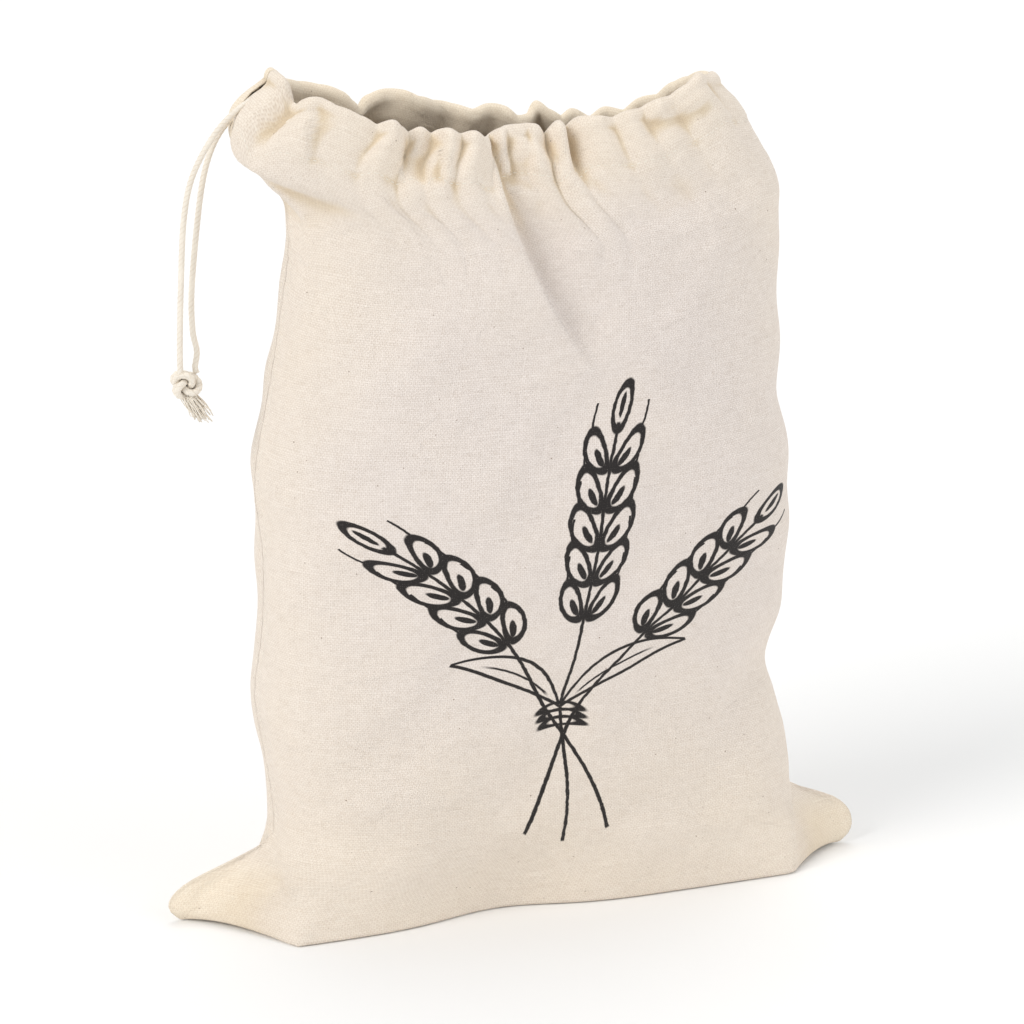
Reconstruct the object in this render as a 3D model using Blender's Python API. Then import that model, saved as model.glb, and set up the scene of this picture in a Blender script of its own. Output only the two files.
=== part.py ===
"""Linen bread bag: two cotton-linen panels sewn along the sides and the bottom, with a
turned-in casing hem round the mouth and one drawcord whose two ends hang at the left seam.

Metres, +Z up. X runs across the bag, the front panel faces -Y, and the origin is the
middle of the base, on the surface that the bag stands on.
"""
import math

import bmesh
import bpy
import numpy as np

MM = 0.001

# Driving dimensions
CLOTH = 1.4 * MM            # thickness of each panel's solid
SEAM_GAP = 0.3 * MM         # space kept between the two panels where they are sewn
CORD_RADIUS = 1.25 * MM
CORD_ROOM = 2.3 * MM        # from the cord's centre to the middle of the casing's cloth
GATHER_DEPTH = 5.0 * MM     # how far the gathered mouth waves in and out
GATHERS = 8                 # gathers in the mouth of each panel
RIM_HEIGHT = 335 * MM       # middle of the mouth
LIFT_LEFT = 22 * MM         # how much higher the mouth stands at each side seam
LIFT_RIGHT = 13 * MM
LIFT_START = 230 * MM       # the height where the cloth starts to rise with the mouth
HEM_DEPTH = 19 * MM         # the casing hem, from the rim to its turned-in edge
CORD_DROP = 8 * MM          # the cord's centre, below the rim
SLIT_SHARE = 0.026          # half of the casing's opening at the left seam, as a share of a panel
RIM_ROUND = 4.5 * MM        # height of the fold at the top of the casing
INNER_DROP = 7.5 * MM       # how far the hem goes straight down, past the cord
TUCK = 2.4 * MM             # between the hem's turned-in edge and the wall, middle to middle
WAVE_START = 262 * MM       # the height where the gathers begin
WAVE_FULL = 328 * MM        # and where they are at their deepest
WAVE_ENDS = 0.07            # the share of a panel at each seam where the gathers die away
BOTTOM_SEAM = 4 * MM        # how far behind the middle the bottom seam runs
SEAM_REACH = 141 * MM       # half the length of the bottom seam, between the ears' tips
COLUMNS = 40                # steps across a panel

# Heights of a panel's rows above the surface, up to the foot of the casing
WALL_ROWS_MM = (5, 12, 18, 23, 28, 33, 39, 52, 74, 100, 128, 158, 190, 222, 254, 280, 294, 306)

# Level sections of the standing bag, in millimetres. height: above the surface.
# left, right: the side seams. front, back: how far each panel stands out.
# square: superellipse exponent, 2 for an oval and more for a box.
SECTIONS = (
    # height, left, right, front, back, square
    (0, 109, 117, 36, 40, 3.4),
    (38, 107, 120, 41, 41, 2.8),
    (46, 107.5, 119.5, 42, 42, 2.7),
    (60, 109, 117, 44, 45, 2.7),
    (78, 112, 112.5, 46, 48, 2.7),
    (95, 114.5, 108.5, 48, 50, 2.7),
    (125, 111, 114, 52, 52, 2.6),
    (155, 110, 116.5, 55, 54, 2.5),
    (190, 113, 115, 56, 55, 2.4),
    (225, 107, 110.5, 54, 52, 2.3),
    (257, 101, 111, 51, 48, 2.3),
    (284, 97, 111, 46, 44, 2.3),
    (292, 98.5, 109.5, 43, 42, 2.4),
    (299, 106, 106, 40.5, 39, 2.4),
    (306, 115, 102, 37.5, 35, 2.5),
    (314, 118, 97, 34.5, 32, 2.6),
    (324, 112.5, 89.5, 29.5, 28, 2.7),
    (330, 104, 83.5, 26.5, 24.5, 2.8),
    (335, 98, 79, 24, 22, 2.9),
)

# Where the standing bag's faces break at its four lower corners, in millimetres. Each
# crease leans back as it rises, until it meets the side seam.
CORNERS = (
    # height, left x, its front y, its back y, right x, its front y, its back y
    (0, 109.5, 43.5, 36, 115.5, 28, 34),
    (8, 109.5, 38, 29, 116.5, 25.5, 28),
    (16, 109.5, 30, 20, 117.5, 21.5, 21),
    (24, 109, 19.5, 10, 118.7, 15, 13),
    (31, 108, 8, 3, 119.8, 7, 5),
    (38, 107, 0, 0, 120, 0, 0),
)

# The two lower corners of the flat bag lie out on the surface as ears. reach: how far an
# ear's ridge stands beyond the middle, at each height. hollow: 1 for a flat side between
# ridge and crease, and more for one that dips.
EARS = (
    # height, left reach, right reach, hollow
    (0, 148, 146, 1.35),
    (5, 153, 151, 1.5),
    (12, 151, 152, 1.7),
    (18, 142, 149, 1.9),
    (22, 132, 144, 1.9),
    (26, 122, 135, 1.8),
    (30, 113, 125, 1.6),
    (33, 109, 121, 1.4),
    (38, 107, 120, 1.0),
)
FRONT_SKEW = 0.22           # how much fuller the front's left half is, near the base
SKEW_FADES = 110            # the height in millimetres where most of that has gone
HALF_WIDTH = 112            # of the standing bag, in millimetres

# Soft shapes pressed into the front panel. middle and size in millimetres across and up,
# turn in degrees, and depth along Y (positive goes into the bag).
FRONT_SHAPES = (
    # x, z, half width, half height, turn, depth
    (-18, 0, 32, 40, 0, 10.0),
    (24, 265, 14, 62, 28, 5.0),
    (-6, 262, 12, 70, 26, -3.5),
    (70, 75, 16, 60, -38, 2.0),
)
BACK_SHAPES = (
    (20, 0, 36, 40, 0, -8.0),
    (-30, 262, 14, 66, -20, -5.0),
    (45, 250, 14, 60, 16, -4.0),
)

# The cord's tails, from the casing's slit to the knot, as x, y, z in millimetres.
OUTER_TAIL = (
    (-105.9, -1.7, 350), (-111, -2.2, 349.5), (-118, -3, 346), (-126, -3.4, 339),
    (-133, -3.2, 329), (-138.5, -3, 317), (-141.5, -2.6, 301), (-143, -2.4, 277),
    (-144, -2.4, 252), (-144, -2.0, 239.5),
)
INNER_TAIL = (
    (-105.9, 1.7, 348), (-110, 2.2, 346.5), (-116, 2.8, 343.5), (-122, 3.2, 338.5),
    (-127.5, 3.2, 330), (-131.5, 3, 318), (-134.5, 2.6, 300), (-137.5, 2.4, 272),
    (-137.5, 2.4, 255), (-136, 2.0, 246), (-137, 1.6, 239.5),
)
KNOT_MIDDLE = (-141.5, 0, 233)
KNOT_HALF = (7.2, 4.6, 6.2)
TUFT = (
    # x, z, half width of the frayed cord ends below the knot
    (-141.0, 227.0, 2.6),
    (-138.5, 222.5, 3.4),
    (-135.5, 219.0, 4.2),
    (-133.5, 216.5, 3.6),
)


def clear_scene():
    for thing in list(bpy.data.objects):
        bpy.data.objects.remove(thing, do_unlink=True)


def make_material(name, colour, roughness):
    material = bpy.data.materials.new(name)
    material.use_nodes = True
    shader = material.node_tree.nodes["Principled BSDF"]
    shader.inputs["Base Color"].default_value = (*colour, 1.0)
    shader.inputs["Roughness"].default_value = roughness
    shader.inputs["Metallic"].default_value = 0.0
    return material


def read_curve(at, rows, column):
    """Value of a table's column at height `at` (mm), on a smooth curve through its rows."""
    heights = np.array([row[0] for row in rows], float)
    values = np.array([row[column] for row in rows], float)
    slopes = np.gradient(values, heights)
    at = np.clip(at, heights[0], heights[-1])
    k = np.clip(np.searchsorted(heights, at, side="right") - 1, 0, len(rows) - 2)
    span = heights[k + 1] - heights[k]
    t = (at - heights[k]) / span
    near = (2 * t**3 - 3 * t**2 + 1) * values[k] + (t**3 - 2 * t**2 + t) * span * slopes[k]
    far = (3 * t**2 - 2 * t**3) * values[k + 1] + (t**3 - t**2) * span * slopes[k + 1]
    return near + far


def smooth_step(t):
    t = np.clip(t, 0.0, 1.0)
    return t * t * (3 - 2 * t)


def half_section(height, front, count=721):
    """One panel's level section at a height, seam to seam, as fine x and y arrays."""
    level = height / MM
    left, right = (read_curve(level, SECTIONS, k) for k in (1, 2))
    left_y = right_y = 0.0
    low = level < CORNERS[-1][0]
    if low:
        left, right = (read_curve(level, CORNERS, k) for k in (1, 4))
        left_y, right_y = (read_curve(level, CORNERS, k) for k in ((2, 5) if front else (3, 6)))
    depth = read_curve(level, SECTIONS, 3 if front else 4) - (left_y + right_y) / 2
    angle = np.linspace(math.pi, 0, count)
    power = 2 / read_curve(level, SECTIONS, 5)
    turn = np.cos(angle)
    x = np.where(turn < 0, left, right) * np.sign(turn) * np.abs(turn) ** power
    out = np.abs(np.sin(angle)) ** power
    skew = FRONT_SKEW * (1 - 0.75 * smooth_step(level / SKEW_FADES)) if front else 0.0
    chord = left_y + (right_y - left_y) * (x + left) / (left + right)
    y = chord + depth * out * (1 - skew * np.clip(x / HALF_WIDTH, -1.1, 1.1))
    if low:
        share = np.linspace(1, 0, count // 6)[:-1]
        fall = (1 - share) ** read_curve(level, EARS, 3)
        left_run = left + (read_curve(level, EARS, 1) - left) * share
        right_run = right + (read_curve(level, EARS, 2) - right) * share
        x = np.concatenate([-left_run, x, right_run[::-1]])
        y = np.concatenate([left_y * fall, y, right_y * fall[::-1]])
    return x * MM, (-y if front else y) * MM


def even_steps(x, y, places):
    """The section's points at the given shares of its length, and its outward normals."""
    run = np.concatenate([[0], np.cumsum(np.hypot(np.diff(x), np.diff(y)))])
    run /= run[-1]
    px, py = np.interp(places, run, x), np.interp(places, run, y)
    step = 0.02
    ahead, behind = np.clip(places + step, 0, 1), np.clip(places - step, 0, 1)
    tx = np.interp(ahead, run, x) - np.interp(behind, run, x)
    ty = np.interp(ahead, run, y) - np.interp(behind, run, y)
    length = np.hypot(tx, ty)
    facing = 1 if y[len(y) // 2] < 0 else -1
    return px, py, facing * ty / length, -facing * tx / length


def soft_shapes(x, z, shapes):
    """Depth along Y of the soft hollows and swellings pressed into a panel."""
    depth = np.zeros_like(x)
    for sx, sz, wide, tall, turn, amount in shapes:
        c, s = math.cos(math.radians(turn)), math.sin(math.radians(turn))
        across = ((x / MM - sx) * c + (z / MM - sz) * s) / wide
        along = (-(x / MM - sx) * s + (z / MM - sz) * c) / tall
        depth += amount * np.exp(-across**2 - along**2)
    return depth * MM


def wave_ends(places):
    return smooth_step(places / WAVE_ENDS) * smooth_step((1 - places) / WAVE_ENDS)


def gather_wave(places, front):
    """From 0 in a hollow of the gathers to 1 on a crest, uneven along the mouth."""
    phase = 0.3 if front else 1.4
    drift = 0.05 * np.sin(5.1 * places * math.pi + phase) + 0.03 * np.sin(11 * places + 2 * phase)
    wave = 0.5 - 0.5 * np.cos(2 * math.pi * (GATHERS * (places + drift)))
    return wave * wave_ends(places)


def rim_lift(places, height):
    """How far the cloth rises towards the seams, at a height."""
    across = 2 * places - 1
    rise = np.where(across < 0, LIFT_LEFT, LIFT_RIGHT) * np.abs(across) ** 2.5
    return rise * smooth_step((height - LIFT_START) / (RIM_HEIGHT - LIFT_START))


def wall_row(height, front, places):
    """A row of the wall's middle surface, with the gathers growing towards the casing."""
    x, y, nx, ny = even_steps(*half_section(height, front), places)
    z = height + rim_lift(places, height)
    y = y + soft_shapes(x, z, FRONT_SHAPES if front else BACK_SHAPES)
    grow = smooth_step((height - WAVE_START) / (WAVE_FULL - WAVE_START))
    out = grow * (CORD_ROOM + GATHER_DEPTH * gather_wave(places, front))
    return np.stack([x + nx * out, y + ny * out, z], 1)


def casing_rows(front, places):
    """The rows over the rim and down the inside of the casing hem."""
    x, y, nx, ny = even_steps(*half_section(RIM_HEIGHT, front), places)
    z = RIM_HEIGHT + rim_lift(places, RIM_HEIGHT)
    width = 2 * CORD_ROOM + GATHER_DEPTH * wave_ends(places)
    outside = CORD_ROOM + GATHER_DEPTH * gather_wave(places, front)
    rows = []
    for turn in (0, 50, 90, 130, 180):
        share = (1 - math.cos(math.radians(turn))) / 2
        out = outside - share * width
        up = RIM_ROUND * (math.sin(math.radians(turn)) - 1)
        rows.append(np.stack([x + nx * out, y + ny * out, z + up], 1))
    rows.append(rows[-1] - np.array([0, 0, INNER_DROP]))
    low = RIM_HEIGHT - HEM_DEPTH
    wall = wall_row(low, front, places)
    _, _, wx, wy = even_steps(*half_section(low, front), places)
    rows.append(wall - np.stack([wx * TUCK, wy * TUCK, 0 * wx], 1))
    return rows


def floor_rows(front, places):
    """The strip under the bag, from the bottom seam to the lower front or back edge."""
    x, y, _, _ = even_steps(*half_section(0, front), places)
    y = y + soft_shapes(x, 0 * x, FRONT_SHAPES if front else BACK_SHAPES)
    across = 2 * places - 1
    seam_y = BOTTOM_SEAM * (1 - across**2) + (-1 if front else 1) * SEAM_GAP / 2
    seam_x = SEAM_REACH * across
    level = np.full_like(x, CLOTH / 2)
    rows = []
    for share in (0, 0.5, 0.92):
        rows.append(np.stack([seam_x + share * (x - seam_x), seam_y + share * (y - seam_y), level], 1))
    rows.append(np.stack([x, y, level + 0.3 * MM], 1))
    return rows


def panel_rows(front):
    places = np.linspace(0, 1, COLUMNS + 1)
    slit = places.copy()
    slit[0] = SLIT_SHARE
    rows = floor_rows(front, places)
    for height in WALL_ROWS_MM:
        rows.append(wall_row(height * MM, front, places))
    rows.append(wall_row(RIM_HEIGHT - HEM_DEPTH, front, places))
    rows.append(wall_row(RIM_HEIGHT - 11 * MM, front, slit))
    rows += casing_rows(front, slit)
    return np.array(rows)


def keep_to_side(points, front, bottom_row):
    """Hold a panel's points on its own side of the seams."""
    side = -1 if front else 1
    limit = np.full(points.shape[:2], SEAM_GAP / 2)
    limit[0] = side * bottom_row[:, 1]
    points[:, :, 1] = side * np.maximum(side * points[:, :, 1], limit)
    points[:, :, 2] = np.maximum(points[:, :, 2], 0)


def surface_normals(grid):
    up = np.gradient(grid, axis=0)
    across = np.gradient(grid, axis=1)
    normal = np.cross(across, up)
    return normal / np.linalg.norm(normal, axis=2, keepdims=True)


def sheet_object(name, front, material):
    """A closed sheet CLOTH thick about a panel's grid of points, its middle surface."""
    grid = panel_rows(front)
    normal = surface_normals(grid)
    shell = [grid + normal * CLOTH / 2, grid - normal * CLOTH / 2]
    for layer in shell:
        keep_to_side(layer, front, grid[0])
    mesh = bmesh.new()
    rows, columns = grid.shape[:2]
    verts = [[[mesh.verts.new(p) for p in row] for row in layer] for layer in shell]
    for r in range(rows - 1):
        for c in range(columns - 1):
            a, b = verts
            mesh.faces.new((a[r][c], a[r][c + 1], a[r + 1][c + 1], a[r + 1][c]))
            mesh.faces.new((b[r][c], b[r + 1][c], b[r + 1][c + 1], b[r][c + 1]))
    border = [(0, c) for c in range(columns)]
    border += [(r, columns - 1) for r in range(1, rows)]
    border += [(rows - 1, c) for c in range(columns - 2, -1, -1)]
    border += [(r, 0) for r in range(rows - 2, 0, -1)]
    for here, after in zip(border, border[1:] + border[:1]):
        a, b = verts
        mesh.faces.new((a[after[0]][after[1]], a[here[0]][here[1]],
                        b[here[0]][here[1]], b[after[0]][after[1]]))
    bmesh.ops.recalc_face_normals(mesh, faces=mesh.faces)
    bmesh.ops.triangulate(mesh, faces=mesh.faces)
    return finish_object(name, mesh, material)


def finish_object(name, mesh, material):
    data = bpy.data.meshes.new(name)
    mesh.to_mesh(data)
    mesh.free()
    data.materials.append(material)
    data.shade_smooth()
    thing = bpy.data.objects.new(name, data)
    bpy.context.collection.objects.link(thing)
    return thing


def smooth_route(points, spacing):
    """Evenly spaced points on a smooth curve through the route's own points."""
    route = np.array(points, float)
    ends = np.vstack([2 * route[0] - route[1], route, 2 * route[-1] - route[-2]])
    fine = []
    for k in range(1, len(ends) - 2):
        before, here, there, beyond = ends[k - 1:k + 3]
        for t in np.linspace(0, 1, 24, endpoint=False):
            fine.append(0.5 * (2 * here + (there - before) * t
                               + (2 * before - 5 * here + 4 * there - beyond) * t**2
                               + (3 * here - before - 3 * there + beyond) * t**3))
    fine.append(ends[-2])
    fine = np.array(fine)
    run = np.concatenate([[0], np.cumsum(np.linalg.norm(np.diff(fine, axis=0), axis=1))])
    count = max(4, int(round(run[-1] / spacing)))
    steps = np.linspace(0, run[-1], count + 1)
    return np.stack([np.interp(steps, run, fine[:, k]) for k in range(3)], 1)


def cord_object(name, points, material):
    curve = bpy.data.curves.new(name, "CURVE")
    curve.dimensions = "3D"
    curve.bevel_depth = CORD_RADIUS
    curve.bevel_resolution = 2
    curve.use_fill_caps = True
    spline = curve.splines.new("POLY")
    spline.points.add(len(points) - 1)
    for place, point in zip(spline.points, points):
        place.co = (*point, 1.0)
    curve.materials.append(material)
    thing = bpy.data.objects.new(name, curve)
    bpy.context.collection.objects.link(thing)
    return thing


def casing_run():
    """The cord's route inside the casing, from the slit round the mouth and back."""
    places = np.linspace(0.035, 1, 26)
    halves = []
    for front in (True, False):
        x, y, _, _ = even_steps(*half_section(RIM_HEIGHT, front), places)
        z = RIM_HEIGHT + rim_lift(places, RIM_HEIGHT) - CORD_DROP
        halves.append(np.stack([x, y, z], 1))
    loop = np.vstack([halves[0], halves[1][-2::-1]]) / MM
    start = [(-104.7, -1.7, 350), (-101.5, -1.8, 350)]
    finish = [(-101.5, 1.8, 348.2), (-104.7, 1.7, 348)]
    return np.vstack([start, loop, finish]) * MM


def knot_object(name, material):
    """The overhand knot that joins the tails, with the frayed ends below it."""
    mesh = bmesh.new()
    rings = 24
    middle = np.array(KNOT_MIDDLE)
    rows = []
    for tilt in np.linspace(-80, 80, 9):
        up, out = math.sin(math.radians(tilt)), math.cos(math.radians(tilt))
        lumps = 1 + 0.08 * np.sin(3 * np.linspace(0, 2 * math.pi, rings, endpoint=False) + 2 * up)
        around = np.linspace(0, 2 * math.pi, rings, endpoint=False)
        rows.append(np.stack([middle[0] + KNOT_HALF[0] * out * np.cos(around) * lumps,
                              middle[1] + KNOT_HALF[1] * out * np.sin(around) * lumps,
                              np.full(rings, middle[2] + KNOT_HALF[2] * up)], 1))
    tuft = []
    for x, z, half in reversed(TUFT[1:]):
        around = np.linspace(0, 2 * math.pi, rings, endpoint=False)
        tuft.append(np.stack([x + half * np.cos(around), 0.75 * half * np.sin(around),
                              z + 0.35 * half * np.cos(around)], 1))
    rows = tuft + rows
    loops = [[mesh.verts.new(point * MM) for point in row] for row in rows]
    for low, high in zip(loops, loops[1:]):
        for k in range(rings):
            after = (k + 1) % rings
            mesh.faces.new((low[k], low[after], high[after], high[k]))
    mesh.faces.new(loops[0])
    mesh.faces.new(loops[-1])
    bmesh.ops.recalc_face_normals(mesh, faces=mesh.faces)
    bmesh.ops.triangulate(mesh, faces=mesh.faces)
    return finish_object(name, mesh, material)


def build_bag():
    front_cloth = make_material("front_cloth", (0.83, 0.74, 0.62), 0.9)
    back_cloth = make_material("back_cloth", (0.80, 0.71, 0.58), 0.9)
    sheet_object("front_panel", True, front_cloth)
    sheet_object("back_panel", False, back_cloth)


def build_cord():
    spacing = 5.6 * MM
    for name, route in (
        ("drawcord", casing_run()),
        ("cord_tail_outer", np.array(OUTER_TAIL) * MM),
        ("cord_tail_inner", np.array(INNER_TAIL) * MM),
    ):
        cotton = make_material(name + "_cotton", (0.84, 0.77, 0.66), 0.85)
        cord_object(name, smooth_route(route, spacing), cotton)
    knot_object("cord_knot", make_material("knot_cotton", (0.82, 0.75, 0.64), 0.85))


clear_scene()
build_bag()
build_cord()
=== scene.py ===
"""The looks of a linen bread bag: two cloth panels, a gathered casing and a knotted drawcord."""
import math
import random

import bpy
import numpy as np
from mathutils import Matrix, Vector


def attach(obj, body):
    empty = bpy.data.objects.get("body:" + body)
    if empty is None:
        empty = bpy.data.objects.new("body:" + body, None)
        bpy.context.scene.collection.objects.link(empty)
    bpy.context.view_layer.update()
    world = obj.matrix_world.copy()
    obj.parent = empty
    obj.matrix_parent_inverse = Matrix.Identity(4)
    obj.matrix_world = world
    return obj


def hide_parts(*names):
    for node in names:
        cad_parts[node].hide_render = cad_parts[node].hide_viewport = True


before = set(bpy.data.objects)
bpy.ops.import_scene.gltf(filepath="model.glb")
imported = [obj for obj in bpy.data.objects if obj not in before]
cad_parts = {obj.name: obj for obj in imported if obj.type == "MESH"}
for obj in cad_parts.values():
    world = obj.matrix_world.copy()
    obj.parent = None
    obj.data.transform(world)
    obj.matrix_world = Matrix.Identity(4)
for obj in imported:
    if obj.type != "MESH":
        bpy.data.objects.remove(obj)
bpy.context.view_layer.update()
MM = 0.001

# ------------------------------------------------
# The camera. It stands a couple of metres off, left of square on and a little above.
# A long lens keeps the bag's upright sides nearly parallel.
# ------------------------------------------------
AIM = Vector((-0.0029, 0.0, 0.1657))
STAND = Vector((-0.5765, -1.8192, 0.7671))
camera_data = bpy.data.cameras.new("camera")
camera_data.lens = 168.5
camera_data.sensor_width = 36.0
camera_data.clip_end = 60.0
camera = bpy.data.objects.new("camera", camera_data)
camera.location = STAND
camera.rotation_euler = (AIM - STAND).to_track_quat("-Z", "Y").to_euler()
bpy.context.collection.objects.link(camera)
bpy.context.scene.camera = camera

# ------------------------------------------------
# The drawcord's two free ends. The cord is three cotton plies laid up with a right-hand
# twist. Both ends come out of the casing at the left seam and hang down beside the bag.
# ------------------------------------------------
CORD_RADIUS = 1.25 * MM
PLIES = 3
LAY_LENGTH = 6.5 * MM       # one full turn of a ply along the cord
GROOVE_SHARE = 0.14         # depth of the grooves between plies, of the radius
ROUTE_STEP = 0.7            # millimetres between the rings of a free end

OUTER_TAIL = (
    (-105.9, -1.7, 350), (-111, -2.2, 349.5), (-118, -3, 346), (-126, -3.4, 339),
    (-133, -3.2, 329), (-138.5, -3, 317), (-141.5, -2.6, 301), (-143, -2.4, 277),
    (-144, -2.4, 252), (-144, -2.0, 239.5),
)
INNER_TAIL = (
    (-105.9, 1.7, 348), (-110, 2.2, 346.5), (-116, 2.8, 343.5), (-122, 3.2, 338.5),
    (-127.5, 3.2, 330), (-131.5, 3, 318), (-134.5, 2.6, 300), (-137.5, 2.4, 272),
    (-137.5, 2.4, 255), (-136, 2.0, 246), (-137, 1.6, 239.5),
)


def smooth_route(points, spacing):
    """Evenly spaced points on a smooth curve through a route's own points."""
    route = np.array(points, float)
    ends = np.vstack([2 * route[0] - route[1], route, 2 * route[-1] - route[-2]])
    t = np.linspace(0, 1, 24, endpoint=False)[:, None]
    fine = []
    for k in range(1, len(ends) - 2):
        before, here, there, beyond = ends[k - 1:k + 3]
        fine.append(0.5 * (2 * here + (there - before) * t
                           + (2 * before - 5 * here + 4 * there - beyond) * t**2
                           + (3 * here - before - 3 * there + beyond) * t**3))
    fine = np.vstack(fine + [ends[-2:-1]])
    run = np.concatenate([[0], np.cumsum(np.linalg.norm(np.diff(fine, axis=0), axis=1))])
    steps = np.linspace(0, run[-1], max(4, int(round(run[-1] / spacing))) + 1)
    return np.stack([np.interp(steps, run, fine[:, k]) for k in range(3)], 1)


def make_piece(name, points, faces, uvs, finish):
    """A mesh object at the origin. uvs has a pair for each point."""
    data = bpy.data.meshes.new(name)
    data.from_pydata([tuple(p) for p in points], [], faces)
    layer = data.uv_layers.new(name="cloth")
    corners = np.empty(len(data.loops), np.int32)
    data.loops.foreach_get("vertex_index", corners)
    layer.data.foreach_set("uv", np.asarray(uvs, np.float32)[corners].ravel())
    data.materials.append(finish)
    data.shade_smooth()
    data.update()
    thing = bpy.data.objects.new(name, data)
    bpy.context.collection.objects.link(thing)
    return thing


def walk_frames(path):
    """Two unit directions square to a path at each point, which don't twist along it."""
    ahead = np.gradient(path, axis=0)
    ahead /= np.linalg.norm(ahead, axis=1, keepdims=True)
    first = np.cross(ahead[0], (0.3, 1.0, 0.2))
    sides = [first / np.linalg.norm(first)]
    for direction in ahead[1:]:
        side = sides[-1] - direction * np.dot(sides[-1], direction)
        sides.append(side / np.linalg.norm(side))
    sides = np.array(sides)
    return sides, np.cross(ahead, sides)


def laid_cord(path, radius, sides=18):
    """Points, faces and UVs of a cord of twisted plies that follows a path."""
    one, two = walk_frames(path)
    run = np.concatenate([[0], np.cumsum(np.linalg.norm(np.diff(path, axis=0), axis=1))])
    around = np.linspace(0, 2 * math.pi, sides, endpoint=False)
    turn = 2 * math.pi * run[:, None] / LAY_LENGTH
    lobe = np.abs(np.cos(0.5 * PLIES * (around[None, :] - turn))) ** 0.8
    reach = radius * (1 - GROOVE_SHARE + GROOVE_SHARE * lobe)
    points = (path[:, None, :] + one[:, None, :] * (reach * np.cos(around))[:, :, None]
              + two[:, None, :] * (reach * np.sin(around))[:, :, None])
    rings = len(path)
    uvs = np.stack(np.broadcast_arrays(around[None, :] / (2 * math.pi), run[:, None]), 2)
    faces = []
    for r in range(rings - 1):
        for k in range(sides):
            n = (k + 1) % sides
            faces.append((r * sides + k, r * sides + n, (r + 1) * sides + n, (r + 1) * sides + k))
    faces.append(tuple(range(sides - 1, -1, -1)))
    faces.append(tuple((rings - 1) * sides + k for k in range(sides)))
    return points.reshape(-1, 3), faces, uvs.reshape(-1, 2)


class Wire:
    """A shader socket that can be used in sums."""

    def __init__(self, tree, socket):
        self.tree = tree
        self.socket = socket

    def make(self, kind, settings=None, sockets=None, out=0):
        """A node of any kind: its settings first, then the values or links of its sockets."""
        node = self.tree.nodes.new(kind)
        for name, value in (settings or {}).items():
            setattr(node, name, value)
        for key, value in (sockets or {}).items():
            if isinstance(value, Wire):
                self.tree.links.new(value.socket, node.inputs[key])
            else:
                node.inputs[key].default_value = value
        return Wire(self.tree, node.outputs[out])

    def sum(self, operation, *values):
        """One maths node, with the values or links given in order."""
        return self.make("ShaderNodeMath", {"operation": operation}, dict(enumerate(values)))

    def __add__(self, other):
        return self.sum("ADD", self, other)

    def __sub__(self, other):
        return self.sum("SUBTRACT", self, other)

    def __rsub__(self, other):
        return self.sum("SUBTRACT", other, self)

    def __mul__(self, other):
        return self.sum("MULTIPLY", self, other)

    def __truediv__(self, other):
        return self.sum("DIVIDE", self, other)

    def __pow__(self, other):
        return self.sum("POWER", self, other)

    def __abs__(self):
        return self.sum("ABSOLUTE", self)

    __radd__ = __add__
    __rmul__ = __mul__

    def floor(self):
        return self.sum("FLOOR", self)

    def fract(self):
        return self.sum("FRACT", self)

    def sine(self):
        return self.sum("SINE", self)

    def root(self):
        return self.sum("SQRT", self)

    def most(self, other):
        return self.sum("MAXIMUM", self, other)

    def ramp(self, low, high):
        """0 below low and 1 above high, smooth between."""
        settings = {"interpolation_type": "SMOOTHSTEP"}
        return self.make("ShaderNodeMapRange", settings, {0: self, 1: low, 2: high})

    def tint(self, colour_a, colour_b):
        """A colour from a to b as this value goes from 0 to 1."""
        settings = {"data_type": "RGBA", "clamp_factor": True}
        return self.make("ShaderNodeMix", settings, {0: self, 6: colour_a, 7: colour_b}, out=2)

    def split(self):
        """The three parts of a vector or a colour."""
        node = self.tree.nodes.new("ShaderNodeSeparateXYZ")
        self.tree.links.new(self.socket, node.inputs[0])
        return [Wire(self.tree, node.outputs[k]) for k in range(3)]

    def place(self, x, y, z=0.0):
        """A vector of three values."""
        return self.make("ShaderNodeCombineXYZ", None, {0: x, 1: y, 2: z})

    def noise(self, scale, detail):
        """Smooth noise from about 0 to 1, at this vector."""
        sockets = {"Vector": self, "Scale": scale, "Detail": detail}
        return self.make("ShaderNodeTexNoise", None, sockets)


def start_finish(name, roughness, sheen=0.0):
    """A new material, its shader, and the piece's own UV map as a Wire."""
    material = bpy.data.materials.new(name)
    material.use_nodes = True
    tree = material.node_tree
    shader = tree.nodes["Principled BSDF"]
    shader.inputs["Roughness"].default_value = roughness
    shader.inputs["Specular IOR Level"].default_value = 0.25
    shader.inputs["Sheen Weight"].default_value = sheen
    shader.inputs["Sheen Roughness"].default_value = 0.5
    uv = tree.nodes.new("ShaderNodeUVMap")
    uv.uv_map = "cloth"
    return material, shader, Wire(tree, uv.outputs[0])


def connect(wire, shader, socket):
    """Feed a value into one of a shader's sockets."""
    wire.tree.links.new(wire.socket, shader.inputs[socket])


def bump(height, distance, strength):
    """A bumped normal from a height map."""
    sockets = {"Height": height, "Distance": distance, "Strength": strength}
    return height.make("ShaderNodeBump", None, sockets)


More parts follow.
